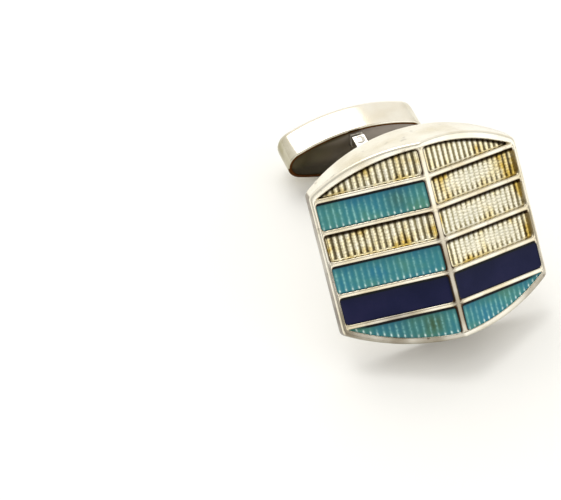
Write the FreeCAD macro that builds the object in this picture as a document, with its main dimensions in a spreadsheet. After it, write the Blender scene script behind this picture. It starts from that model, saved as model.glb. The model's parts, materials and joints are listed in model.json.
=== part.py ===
"""A cufflink: a folded, enamelled face on a curved flat post, with an oval toggle that swivels on a rivet.

The head is drawn with its rows along X, its height along Y and the fold's ridge at Z = 0, facing +Z.
Every piece is then laid down together, as the finished cufflink lies on a table: on the lower back
edge of the head and on the lower edge of the toggle.
"""
import FreeCAD, Part
import math
import os
import Sketcher

doc = FreeCAD.newDocument("cufflink")

# Driving dimensions, in millimetres and degrees
DIMENSIONS = {
    "face_width": 16.7,
    "crown_height": 15.1,
    "corner_height": 10.78,
    "ridge_rise": 3.42,
    "edge_depth": 1.08,
    "side_lean": 1.0,
    "top_lean": 10.5,
    "bottom_lean": 5.0,
    "side_rim_width": 0.25,
    "arch_rim_width": 0.33,
    "centre_bar_width": 0.55,
    "cross_bar_width": 0.36,
    "cross_bar_count": 5,
    "cell_depth": 0.32,
    "reed_count": 17,
    "reed_height": 0.13,
    "reed_plate_thickness": 0.17,
    "enamel_recess": 0.04,
    "back_thickness": 0.45,
    "seat_gap": 0.02,
    "post_width": 4.0,
    "post_thickness": 1.0,
    "post_root": 3.05,
    "post_bend_radius": 9.85,
    "post_turn": 38.0,
    "post_straight": 5.05,
    "post_end": 0.5,
    "foot_margin": 0.8,
    "foot_thickness": 0.5,
    "pin_diameter": 0.6,
    "pin_head_diameter": 0.8,
    "pin_head_height": 0.08,
    "pin_play": 0.03,
    "lug_width": 1.6,
    "lug_play": 0.05,
    "lug_swing_gap": 0.3,
    "hinge_standoff": 1.02,
    "leaf_thickness": 0.24,
    "leaf_margin": 0.06,
    "toggle_length": 11.55,
    "toggle_width": 4.6,
    "toggle_thickness": 2.95,
    "toggle_end_radius": 1.42,
    "toggle_wall": 0.32,
    "toggle_edge_round": 0.5,
    "toggle_plate_thickness": 0.4,
    "cut_overrun": 1.0,
}

# What fills the cells, row by row from the top: left of the centre bar, then right of it
SIDES = ("left", "right")
CELL_ROWS = (("bare", "bare"), ("teal", "bare"), ("bare", "bare"),
             ("teal", "bare"), ("navy", "navy"), ("teal", "teal"))

sizes = doc.addObject("Spreadsheet::Sheet", "sizes")
for row, (alias, amount) in enumerate(DIMENSIONS.items(), start=1):
    sizes.set(f"A{row}", alias)
    sizes.set(f"B{row}", str(amount))
    sizes.setAlias(f"B{row}", alias)
doc.recompute()

# Sizes that follow from the driving ones, as expressions on the sheet
HALF_FACE = "(sizes.face_width / 2)"
SLOPE = f"(sizes.ridge_rise / {HALF_FACE})"
FOLD_ANGLE = f"atan({SLOPE})"
HEAD_DEPTH = "(sizes.ridge_rise + sizes.edge_depth)"
CROWN = "(sizes.crown_height / 2)"
CORNER = "(sizes.corner_height / 2)"
OPENING_HALF = f"({HALF_FACE} - sizes.side_rim_width)"
OPENING_CROWN = f"({CROWN} - sizes.arch_rim_width)"
OPENING_CORNER = f"({CORNER} - sizes.arch_rim_width)"
BACK_FOOT = f"({CROWN} + tan(sizes.bottom_lean) * {HEAD_DEPTH})"
ROW_PITCH = f"((2 * {OPENING_CROWN} + sizes.cross_bar_width) / (sizes.cross_bar_count + 1))"
BAR_HALF = "(sizes.centre_bar_width / 2)"
POST_HALF = "(sizes.post_width / 2)"
PIN_Y = ("(sizes.post_bend_radius * (1 - cos(sizes.post_turn))"
         " + sizes.post_straight * sin(sizes.post_turn))")
PIN_Z = (f"(-{HEAD_DEPTH} - sizes.post_root - sizes.post_bend_radius * sin(sizes.post_turn)"
         " - sizes.post_straight * cos(sizes.post_turn))")


def value(expression):
    """The present value of an expression on the sheet."""
    return float(sizes.evalExpression(expression))


def new_body(name):
    body = doc.addObject("PartDesign::Body", name)
    body.Label = name
    return body


def new_sketch(body, name, role, offset="0"):
    """A sketch on one of the body's own origin planes, moved along that plane's normal."""
    sketch = body.newObject("Sketcher::SketchObject", name)
    plane = next(feature for feature in body.Origin.OriginFeatures if feature.Role == role)
    sketch.AttachmentSupport = [(plane, "")]
    sketch.MapMode = "FlatFace"
    sketch.setExpression("AttachmentOffset.Base.z", offset)
    return sketch


def bind(sketch, constraint, expression):
    index = sketch.addConstraint(constraint)
    sketch.setExpression(f"Constraints[{index}]", expression)


def arc_between(start, end, radius, side):
    """The short arc from start to end: side is 1 where it turns left on the way, and -1 where right."""
    chord = end - start
    middle = (start + end) / 2
    left = FreeCAD.Vector(-chord.y, chord.x, 0).normalize()
    rise = math.sqrt(max(radius ** 2 - (chord.Length / 2) ** 2, 0))
    over = middle - left * (radius - rise) * side
    return Part.Arc(start, over, end)


def draw(sketch, corners):
    """Draws a closed outline. Each corner is (x, y), or (x, y, radius, side) where an arc leaves it.

    All are expressions on the sheet: two distances hold each corner, and a radius holds each arc.
    """
    points = [FreeCAD.Vector(value(corner[0]), value(corner[1]), 0) for corner in corners]
    ends = []
    for index, corner in enumerate(corners):
        start, end = points[index], points[(index + 1) % len(points)]
        if len(corner) == 2:
            sketch.addGeometry(Part.LineSegment(start, end))
            ends.append((1, 2))
        else:
            sketch.addGeometry(arc_between(start, end, value(corner[2]), corner[3]))
            ends.append((1, 2) if corner[3] > 0 else (2, 1))
    for index, corner in enumerate(corners):
        after = (index + 1) % len(corners)
        joined = Sketcher.Constraint("Coincident", index, ends[index][1], after, ends[after][0])
        sketch.addConstraint(joined)
        for kind, expression in (("DistanceX", corner[0]), ("DistanceY", corner[1])):
            held = Sketcher.Constraint(kind, -1, 1, index, ends[index][0], value(expression))
            bind(sketch, held, expression)
        if len(corner) == 4:
            bind(sketch, Sketcher.Constraint("Radius", index, value(corner[2])), corner[2])


def barrel(half_width, corner, crown, low_corner=None, low_crown=None):
    """Corners of an outline with straight sides and arched ends, alike unless the lower one is given."""
    low_corner = low_corner or corner
    low_crown = low_crown or crown

    def arch_radius(at_side, at_middle):
        rise = f"({at_middle} - {at_side})"
        return f"(({half_width})^2 + {rise}^2) / (2 * {rise})"

    return [(half_width, corner, arch_radius(corner, crown), 1), (f"-{half_width}", corner),
            (f"-{half_width}", f"-{low_corner}", arch_radius(low_corner, low_crown), 1),
            (half_width, f"-{low_corner}")]


def oval(inset):
    """Corners of the toggle's outline, two long arcs and two tight end arcs, drawn in by inset."""
    end_radius = f"(sizes.toggle_end_radius - {inset})"
    half_length = "(sizes.toggle_length / 2 - sizes.toggle_end_radius)"
    half_width = "(sizes.toggle_width / 2)"
    full = (f"(({half_length}^2 + {half_width}^2 - sizes.toggle_end_radius^2)"
            f" / (2 * ({half_width} - sizes.toggle_end_radius)))")
    side_radius = f"({full} - {inset})"
    turn = f"atan({half_length} / ({full} - {half_width}))"
    x = f"({half_length} + {end_radius} * sin({turn}))"
    y = f"({end_radius} * cos({turn}))"
    return [(x, y, side_radius, 1), (f"-{x}", y, end_radius, 1),
            (f"-{x}", f"-{y}", side_radius, 1), (x, f"-{y}", end_radius, 1)]


def pad(body, sketch, name, length, symmetric=False, reverse=False):
    feature = body.newObject("PartDesign::Pad", name)
    feature.Profile = sketch
    feature.SideType = "Symmetric" if symmetric else "One side"
    feature.Reversed = reverse
    feature.setExpression("Length", length)
    return feature


def pocket(body, sketch, name, length, symmetric=False):
    feature = body.newObject("PartDesign::Pocket", name)
    feature.Profile = sketch
    feature.SideType = "Symmetric" if symmetric else "One side"
    feature.setExpression("Length", length)
    return feature


def repeat(body, feature, sketch, axis, name, length, count, reverse=False):
    """Repeats a feature along an axis of its own sketch, over a length and with a count of copies."""
    pattern = body.newObject("PartDesign::LinearPattern", name)
    pattern.Originals = [feature]
    pattern.Direction = (sketch, [axis])
    pattern.Reversed = reverse
    pattern.setExpression("Length", length)
    pattern.setExpression("Occurrences", count)
    body.Tip = pattern
    return pattern


def trimmed(name, blank, gauge):
    """A piece cut to the outline of the opening that it sits in."""
    piece = doc.addObject("Part::Common", name)
    piece.Base = blank
    piece.Tool = gauge
    piece.Label = name
    return piece


def head_shell():
    """The struck wall of the head: arched ends that lean out to the back, and the opening for the cells."""
    body = new_body("head_shell")
    front = new_sketch(body, "shell_ridge_outline", "XY_Plane")
    draw(front, barrel(f"({HALF_FACE} - tan(sizes.side_lean) * sizes.ridge_rise)",
                       f"({CORNER} - tan(sizes.top_lean) * sizes.ridge_rise)", CROWN,
                       f"({CORNER} - tan(sizes.bottom_lean) * sizes.ridge_rise)", CROWN))
    back = new_sketch(body, "shell_back_outline", "XY_Plane", f"-{HEAD_DEPTH}")
    draw(back, barrel(f"({HALF_FACE} + tan(sizes.side_lean) * sizes.edge_depth)",
                      f"({CORNER} + tan(sizes.top_lean) * sizes.edge_depth)",
                      f"({CROWN} + tan(sizes.top_lean) * {HEAD_DEPTH})",
                      f"({CORNER} + tan(sizes.bottom_lean) * sizes.edge_depth)", BACK_FOOT))
    block = body.newObject("PartDesign::AdditiveLoft", "shell_block")
    block.Profile = front
    block.Sections = [back]
    block.Ruled = True
    wide = f"({HALF_FACE} + sizes.cut_overrun)"
    fold = new_sketch(body, "shell_fold", "XZ_Plane")
    draw(fold, [("0", "0"), (wide, f"-{wide} * {SLOPE}"), (wide, "sizes.cut_overrun"),
                (f"-{wide}", "sizes.cut_overrun"), (f"-{wide}", f"-{wide} * {SLOPE}")])
    pocket(body, fold, "shell_fold_cut", "sizes.crown_height + sizes.cut_overrun", symmetric=True)
    opening = new_sketch(body, "shell_opening", "XY_Plane", "sizes.cut_overrun")
    draw(opening, barrel(OPENING_HALF, OPENING_CORNER, OPENING_CROWN))
    pocket(body, opening, "shell_opening_cut", f"{HEAD_DEPTH} + 2 * sizes.cut_overrun")
    return body


def opening_gauge():
    """The space inside the rim less the seat gap, to which the inner pieces are cut."""
    body = new_body("opening_gauge")
    outline = new_sketch(body, "gauge_outline", "XY_Plane", f"-{HEAD_DEPTH}")
    draw(outline, barrel(f"({OPENING_HALF} - sizes.seat_gap)", f"({OPENING_CORNER} - sizes.seat_gap)",
                         f"({OPENING_CROWN} - sizes.seat_gap)"))
    pad(body, outline, "gauge_prism", f"{HEAD_DEPTH} + sizes.cut_overrun")
    return body


def folded_strip(half_width, top, bottom):
    """Corners of a strip that follows the fold, seen from the end, from a depth top to a depth bottom."""
    edge = f"-{half_width} * {SLOPE}"
    return [("0", f"-{top}"), (f"-{half_width}", f"{edge} - {top}"),
            (f"-{half_width}", f"{edge} - {bottom}"), ("0", f"-{bottom}"),
            (half_width, f"{edge} - {bottom}"), (half_width, f"{edge} - {top}")]


def cell_grille(gauge):
    """The pierced grille: one bar along the ridge, and folded cross bars that part the rows."""
    body = new_body("cell_grille_blank")
    span = f"((sizes.cross_bar_count - 1) * {ROW_PITCH})"
    cross = new_sketch(body, "cross_bar_section", "XZ_Plane", f"{span} / 2")
    draw(cross, folded_strip(OPENING_HALF, "0", "sizes.cell_depth"))
    bar = pad(body, cross, "cross_bar", "sizes.cross_bar_width", symmetric=True)
    repeat(body, bar, cross, "N_Axis", "cross_bars", span, "sizes.cross_bar_count", reverse=True)
    ridge = new_sketch(body, "centre_bar_section", "XZ_Plane")
    draw(ridge, folded_strip(BAR_HALF, "0", "sizes.cell_depth"))
    pad(body, ridge, "centre_bar", f"2 * {OPENING_CROWN}", symmetric=True)
    return trimmed("cell_grille", body, gauge)


def reeded_plate(side, gauge):
    """A plate behind one slope of the grille, with half-round reeds that run from top to bottom."""
    name = f"reeded_plate_{side}"
    body = new_body(f"{name}_blank")
    floor = "(sizes.reed_height + sizes.reed_plate_thickness)"
    first = f"({BAR_HALF} / cos({FOLD_ANGLE}))"
    last = f"({OPENING_HALF} / cos({FOLD_ANGLE}))"
    pitch = f"(({last} - {first}) / sizes.reed_count)"
    start = f"({floor} * tan({FOLD_ANGLE}) + sizes.seat_gap)"
    height = f"2 * {OPENING_CROWN}"
    slab = new_sketch(body, f"{name}_section", "XZ_Plane")
    draw(slab, [(start, f"-{floor}"), (f"({last} + sizes.cut_overrun)", f"-{floor}"),
                (f"({last} + sizes.cut_overrun)", "-sizes.reed_height"), (start, "-sizes.reed_height")])
    pad(body, slab, f"{name}_slab", height, symmetric=True)
    reed = new_sketch(body, f"{name}_reed_section", "XZ_Plane")
    reed_radius = f"(({pitch} / 2)^2 + sizes.reed_height^2) / (2 * sizes.reed_height)"
    draw(reed, [(f"({first} + {pitch})", "-sizes.reed_height", reed_radius, 1),
                (first, "-sizes.reed_height"), (first, f"-{floor}"), (f"({first} + {pitch})", f"-{floor}")])
    one = pad(body, reed, f"{name}_reed", height, symmetric=True)
    span = f"{pitch} * (sizes.reed_count - 1)"
    repeat(body, one, reed, "H_Axis", f"{name}_reeds", span, "sizes.reed_count")
    facing = 0 if side == "right" else 180
    tilt = FreeCAD.Rotation(FreeCAD.Vector(0, 1, 0), value(FOLD_ANGLE))
    turned = FreeCAD.Rotation(FreeCAD.Vector(0, 0, 1), facing)
    seat = FreeCAD.Vector(0, 0, -value("sizes.cell_depth + sizes.seat_gap"))
    body.Placement = FreeCAD.Placement(seat, turned * tilt)
    return trimmed(name, body, gauge)


def enamel_fill(colour, side, cell_row, gauge):
    """One cell's enamel, from the reeds up to just below the grille."""
    name = f"enamel_{colour}_{side}_{cell_row}"
    last_row = "(sizes.cross_bar_count + 1)"
    is_end = cell_row == int(value(last_row))
    body = new_body(f"{name}_blank")
    sign = "" if side == "right" else "-"
    near = f"({BAR_HALF} + sizes.seat_gap)"
    far = OPENING_HALF
    half_bar = "(sizes.cross_bar_width / 2 + sizes.seat_gap)"
    upper = f"((sizes.cross_bar_count + 3) / 2 - {cell_row}) * {ROW_PITCH} - {half_bar}"
    lower = f"-{OPENING_CROWN}" if is_end else (
        f"((sizes.cross_bar_count + 1) / 2 - {cell_row}) * {ROW_PITCH} + {half_bar}")
    section = new_sketch(body, f"{name}_section", "XZ_Plane", f"-(({upper}) + ({lower})) / 2")
    draw(section, [(f"{sign}{near}", f"-{near} * {SLOPE} - sizes.enamel_recess"),
                   (f"{sign}{far}", f"-{far} * {SLOPE} - sizes.enamel_recess"),
                   (f"{sign}{far}", f"-{far} * {SLOPE} - sizes.cell_depth"),
                   (f"{sign}{near}", f"-{near} * {SLOPE} - sizes.cell_depth")])
    pad(body, section, f"{name}_pad", f"({upper}) - ({lower})", symmetric=True)
    return trimmed(name, body, gauge)


def back_plate():
    """The flat plate that closes the back of the head, inside the wall, with a slot for the post."""
    body = new_body("back_plate")
    outline = new_sketch(body, "back_outline", "XY_Plane", f"-{HEAD_DEPTH}")
    draw(outline, barrel(f"({OPENING_HALF} - sizes.seat_gap)", f"({OPENING_CORNER} - sizes.seat_gap)",
                         f"({OPENING_CROWN} - sizes.seat_gap)"))
    pad(body, outline, "back_sheet", "sizes.back_thickness")
    slot = new_sketch(body, "back_slot_outline", "XY_Plane", "sizes.cut_overrun")
    across = "(sizes.post_thickness / 2 + sizes.seat_gap)"
    along = f"({POST_HALF} + sizes.seat_gap)"
    draw(slot, [(across, along), (f"-{across}", along), (f"-{across}", f"-{along}"), (across, f"-{along}")])
    pocket(body, slot, "back_slot", f"{HEAD_DEPTH} + 2 * sizes.cut_overrun")
    return body


def along_post(across, beyond):
    """A point near the post's end: across its width from the pin's axis, and beyond that axis."""
    return (f"({PIN_Y} + ({across}) * cos(sizes.post_turn) + ({beyond}) * sin(sizes.post_turn))",
            f"({PIN_Z} + ({across}) * sin(sizes.post_turn) - ({beyond}) * cos(sizes.post_turn))")


def post():
    """The flat curved post: through the back plate to a foot inside it, and forked for the toggle's lug."""
    body = new_body("post")
    seat = f"(-{HEAD_DEPTH} + sizes.back_thickness)"
    foot = new_sketch(body, "post_foot_outline", "XY_Plane", seat)
    draw(foot, barrel("(sizes.post_thickness / 2 + sizes.foot_margin)", POST_HALF,
                      f"({POST_HALF} + sizes.foot_margin)"))
    pad(body, foot, "post_foot", "sizes.foot_thickness")
    side = new_sketch(body, "post_side_view", "YZ_Plane")
    lower, upper = f"-{POST_HALF}", POST_HALF
    root = f"(-{HEAD_DEPTH} - sizes.post_root)"
    draw(side, [(lower, seat), (lower, root, f"sizes.post_bend_radius + {POST_HALF}", 1),
                along_post(lower, "-sizes.post_straight"), along_post(lower, "sizes.post_end"),
                along_post(upper, "sizes.post_end"),
                (*along_post(upper, "-sizes.post_straight"), f"sizes.post_bend_radius - {POST_HALF}", -1),
                (upper, root), (upper, seat)])
    pad(body, side, "post_blade", "sizes.post_thickness", symmetric=True)
    notch = new_sketch(body, "post_notch_view", "YZ_Plane")
    half_notch = "(sizes.lug_width / 2 + sizes.lug_play)"
    deep = "-(sizes.post_thickness / 2 + sizes.lug_swing_gap)"
    draw(notch, [along_post(f"-{half_notch}", deep), along_post(f"-{half_notch}", "sizes.cut_overrun"),
                 along_post(half_notch, "sizes.cut_overrun"), along_post(half_notch, deep)])
    pocket(body, notch, "post_notch", "sizes.post_thickness + sizes.cut_overrun", symmetric=True)
    hole = body.newObject("PartDesign::SubtractiveCylinder", "post_pin_hole")
    length = "(sizes.post_width + 2 * sizes.cut_overrun)"
    start = [value(place) for place in along_post(f"-{length} / 2", "0")]
    across = FreeCAD.Rotation(FreeCAD.Vector(1, 0, 0), value("sizes.post_turn - 90"))
    hole.Placement = FreeCAD.Placement(FreeCAD.Vector(0, *start), across)
    hole.setExpression("Radius", "sizes.pin_diameter / 2 + sizes.seat_gap")
    hole.setExpression("Height", length)
    return body


def hinge_pin():
    """The rivet that joins toggle and post, closed over at both ends into a low dome."""
    body = new_body("hinge_pin")
    half = f"({POST_HALF} + sizes.seat_gap)"
    top = f"({half} + sizes.pin_head_height)"
    head = "(sizes.pin_head_diameter / 2)"
    shaft = "(sizes.pin_diameter / 2)"
    dome = f"({head}^2 + sizes.pin_head_height^2) / (2 * sizes.pin_head_height)"
    section = new_sketch(body, "pin_section", "XY_Plane")
    draw(section, [("0", f"-{top}", dome, 1), (head, f"-{half}"), (shaft, f"-{half}"), (shaft, half),
                   (head, half, dome, 1), ("0", top)])
    spin = body.newObject("PartDesign::Revolution", "pin_turned")
    spin.Profile = section
    spin.ReferenceAxis = (section, ["V_Axis"])
    return body


def hinge_lug():
    """The eye that stands on the toggle's plate, between the post's tines, and turns on the rivet."""
    body = new_body("hinge_lug")
    radius = "(sizes.post_thickness / 2)"
    section = new_sketch(body, "lug_section", "XZ_Plane")
    draw(section, [(radius, "0", radius, 1), ("0", radius, radius, 1), (f"-{radius}", "0"),
                   (f"-{radius}", "-sizes.hinge_standoff"), (radius, "-sizes.hinge_standoff")])
    pad(body, section, "lug_block", "sizes.lug_width", symmetric=True)
    eye = new_sketch(body, "lug_eye_section", "XZ_Plane")
    bore = "(sizes.pin_diameter / 2 + sizes.pin_play)"
    eye.addGeometry(Part.Circle(FreeCAD.Vector(), FreeCAD.Vector(0, 0, 1), value(bore)))
    eye.addConstraint(Sketcher.Constraint("Coincident", 0, 3, -1, 1))
    bind(eye, Sketcher.Constraint("Radius", 0, value(bore)), bore)
    pocket(body, eye, "lug_eye", "sizes.lug_width + sizes.cut_overrun", symmetric=True)
    return body


def detent_leaf(end):
    """One of the two spring leaves on the toggle's plate, which bear on the post's tines."""
    body = new_body(f"detent_leaf_{end}")
    sign = "" if end == "upper" else "-"
    near = "(sizes.lug_width / 2 + sizes.seat_gap)"
    far = "(sizes.toggle_width / 2 - sizes.toggle_wall - sizes.leaf_margin)"
    half = "(sizes.post_thickness / 2)"
    outline = new_sketch(body, f"leaf_{end}_outline", "XY_Plane", "-sizes.hinge_standoff + sizes.seat_gap")
    draw(outline, [(f"-{half}", f"{sign}{near}"), (half, f"{sign}{near}"),
                   (half, f"{sign}{far}"), (f"-{half}", f"{sign}{far}")])
    pad(body, outline, f"leaf_{end}_strip", "sizes.leaf_thickness - sizes.seat_gap")
    return body


def toggle_cup():
    """The drawn oval cup of the toggle, with a rounded outer edge and an open side towards the head."""
    body = new_body("toggle_cup")
    top = "-sizes.hinge_standoff"
    outline = new_sketch(body, "cup_outline", "XY_Plane", top)
    draw(outline, oval("0"))
    pad(body, outline, "cup_block", "sizes.toggle_thickness", reverse=True)
    hollow = new_sketch(body, "cup_hollow_outline", "XY_Plane", top)
    draw(hollow, oval("sizes.toggle_wall"))
    inside = pocket(body, hollow, "cup_hollow", "sizes.toggle_thickness - sizes.toggle_wall")
    doc.recompute()
    lowest = inside.Shape.BoundBox.ZMin
    rim = [f"Edge{index}" for index, edge in enumerate(inside.Shape.Edges, start=1)
           if edge.BoundBox.ZMax - lowest < value("sizes.seat_gap")]
    soft = body.newObject("PartDesign::Fillet", "cup_edge")
    soft.Base = (inside, rim)
    soft.setExpression("Radius", "sizes.toggle_edge_round")
    return body


def toggle_plate():
    """The flat plate that closes the toggle's cup and carries the hinge."""
    body = new_body("toggle_plate")
    outline = new_sketch(body, "toggle_plate_outline", "XY_Plane", "-sizes.hinge_standoff")
    draw(outline, oval("(sizes.toggle_wall + sizes.seat_gap)"))
    pad(body, outline, "toggle_sheet", "sizes.toggle_plate_thickness", reverse=True)
    return body


gauge = opening_gauge()
head_pieces = [head_shell(), cell_grille(gauge), back_plate(), post()]
head_pieces += [reeded_plate(side, gauge) for side in SIDES]
for cell_row, colours in enumerate(CELL_ROWS, start=1):
    head_pieces += [enamel_fill(colour, side, cell_row, gauge)
                    for side, colour in zip(SIDES, colours) if colour != "bare"]
hinge_pieces = [hinge_pin(), hinge_lug(), toggle_cup(), toggle_plate()]
hinge_pieces += [detent_leaf(end) for end in ("upper", "lower")]
doc.recompute()

# The hinge's place on the head: its axis runs across the post's width
hinge = FreeCAD.Placement(FreeCAD.Vector(0, value(PIN_Y), value(PIN_Z)),
                          FreeCAD.Rotation(FreeCAD.Vector(1, 0, 0), value("sizes.post_turn")))

# The table touches the head's lower back edge, and the toggle's side at its inner edge or its rounded one
head_edge = FreeCAD.Vector(0, -value(BACK_FOOT), -value(HEAD_DEPTH))
edge_round = value("sizes.toggle_edge_round")
toggle_low = -value("sizes.toggle_width / 2")
toggle_back = -value("sizes.hinge_standoff + sizes.toggle_thickness")
inner_edge = (FreeCAD.Vector(0, toggle_low, -value("sizes.hinge_standoff")), 0)
outer_edge = (FreeCAD.Vector(0, toggle_low + edge_round, toggle_back + edge_round), edge_round)


def table_tilt(place, radius):
    """How far the head tips back when the table touches it and a rounded edge of the toggle."""
    reach = hinge.multVec(place) - head_edge
    return math.atan2(-reach.z, reach.y) + math.asin(radius / reach.Length)


table_angle = max(table_tilt(*inner_edge), table_tilt(*outer_edge))
tip_back = FreeCAD.Rotation(FreeCAD.Vector(1, 0, 0), math.degrees(table_angle))
lying = FreeCAD.Placement(FreeCAD.Vector(), tip_back)

# The origin is on the table, under the middle of the cufflink's box
laid = [piece.Shape.copy() for piece in head_pieces + hinge_pieces]
for index, shape in enumerate(laid):
    on_hinge = index >= len(head_pieces)
    shape.Placement = lying * (hinge if on_hinge else FreeCAD.Placement()) * shape.Placement
box = Part.makeCompound(laid).optimalBoundingBox(False)
lying.Base = FreeCAD.Vector(-box.Center.x, -box.Center.y, -box.ZMin)
for piece in head_pieces:
    piece.Placement = lying * piece.Placement
for piece in hinge_pieces:
    piece.Placement = lying * hinge * piece.Placement
doc.recompute()

for item in doc.Objects:
    if "Invalid" in item.State or "Error" in item.State:
        raise RuntimeError(f"{item.Label} failed: {item.State}")
os.makedirs("parts", exist_ok=True)
for piece in head_pieces + hinge_pieces:
    shape = piece.Shape
    if shape.isNull() or not shape.isValid():
        raise RuntimeError(f"{piece.Label} has no valid shape")
    shape.exportStep(f"parts/{piece.Label}.step")
    print(f"{piece.Label}: {len(shape.Solids)} solid, {shape.Volume:.3f} cubic mm")
print("hinge at", lying.multVec(hinge.Base), "axis", lying.Rotation.multVec(hinge.Rotation.multVec(
    FreeCAD.Vector(0, 1, 0))), "lean", math.degrees(table_angle))
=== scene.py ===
"""The looks of a silver cufflink: a roof-shaped face of reeded and enamelled cells, on a post with a toggle.

Pieces are drawn in millimetres, in the head's own frame or in the toggle's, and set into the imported
frame in metres. The head's frame has X along the rows, Y up the face and Z out of the face.
"""
import json
import math

import bmesh
import bpy
from mathutils import Matrix, Vector, noise


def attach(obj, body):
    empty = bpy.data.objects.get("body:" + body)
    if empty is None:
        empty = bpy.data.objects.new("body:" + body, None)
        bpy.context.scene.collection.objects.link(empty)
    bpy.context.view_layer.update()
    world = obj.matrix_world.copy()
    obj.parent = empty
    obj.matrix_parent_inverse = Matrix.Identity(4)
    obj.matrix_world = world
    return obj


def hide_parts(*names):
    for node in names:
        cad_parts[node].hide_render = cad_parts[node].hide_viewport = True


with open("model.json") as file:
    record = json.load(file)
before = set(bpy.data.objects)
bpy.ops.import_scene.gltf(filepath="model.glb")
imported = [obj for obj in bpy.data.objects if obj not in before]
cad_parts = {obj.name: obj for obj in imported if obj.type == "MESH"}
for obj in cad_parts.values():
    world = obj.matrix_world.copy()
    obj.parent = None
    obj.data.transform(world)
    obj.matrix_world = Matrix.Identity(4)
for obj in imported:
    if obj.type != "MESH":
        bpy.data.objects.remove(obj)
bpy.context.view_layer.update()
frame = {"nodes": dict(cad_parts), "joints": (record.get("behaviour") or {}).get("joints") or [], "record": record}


# Head shell: the wall and rim of the face, struck in silver sheet and bent along the middle.
# Its arched ends lean outwards to the back, where a flat plate closes it. It was polished all over,
# and brown has settled on its wall: tarnish, with painted shade where the sides and bottom face from the light.
# Its lower rim is darkened by painted shade, most left of the ridge.
MM = 0.001
FACE_HALF, CORNER, CROWN = 8.35, 5.39, 7.55
HEAD_DEPTH, RIDGE_RISE = 4.5, 3.42
EDGE_DEPTH = HEAD_DEPTH - RIDGE_RISE
SIDE_LEAN, TOP_LEAN, BOTTOM_LEAN = (math.tan(math.radians(angle)) for angle in (1.0, 10.5, 5.0))
SIDE_RIM, ARCH_RIM = 0.25, 0.33
OPENING_HALF, OPENING_CORNER, OPENING_CROWN = FACE_HALF - SIDE_RIM, CORNER - ARCH_RIM, CROWN - ARCH_RIM
SLOPE = RIDGE_RISE / FACE_HALF
SIDE_STEPS, ARCH_STEPS, CORNER_STEPS = 24, 72, 6

seat = next(mount for mount in frame["record"]["mounts"] if mount["name"] == "cuff_seat")
along_rows = Vector((1, 0, 0))
out_of_face = -Vector(seat["axis"])
up_the_face = out_of_face.cross(along_rows)
head_turn = Matrix((along_rows, up_the_face, out_of_face)).transposed().to_4x4()
head_frame = Matrix.Translation((0, *seat["pos_m"][1:])) @ head_turn @ Matrix.Scale(MM, 4)


def linear(code):
    """An sRGB hex colour as linear red, green, blue and alpha."""
    shares = [int(code[place:place + 2], 16) / 255 for place in (1, 3, 5)]
    return (*(((share + 0.055) / 1.055) ** 2.4 if share > 0.04045 else share / 12.92 for share in shares), 1)


def per_metre(size):
    """The scale of a texture whose features are size millimetres wide."""
    return 1 / (size * MM)


def add(tree, kind, inputs=None, stops=None, **settings):
    """Adds a node, with its settings, its inputs as values or links, and the stops of a ramp."""
    node = tree.nodes.new(kind)
    for name, setting in settings.items():
        setattr(node, name, setting)
    for socket, given in (inputs or {}).items():
        if isinstance(given, bpy.types.NodeSocket):
            tree.links.new(given, node.inputs[socket])
        else:
            node.inputs[socket].default_value = given
    if stops:
        ramp = node.color_ramp.elements
        while len(ramp) < len(stops):
            ramp.new(1)
        for element, (place, colour) in zip(ramp, stops):
            element.position = place
            element.color = colour
    return node


def new_material(name):
    """A material and its empty tree."""
    material = bpy.data.materials.new(name)
    material.use_nodes = True
    material.node_tree.nodes.clear()
    return material, material.node_tree


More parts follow.
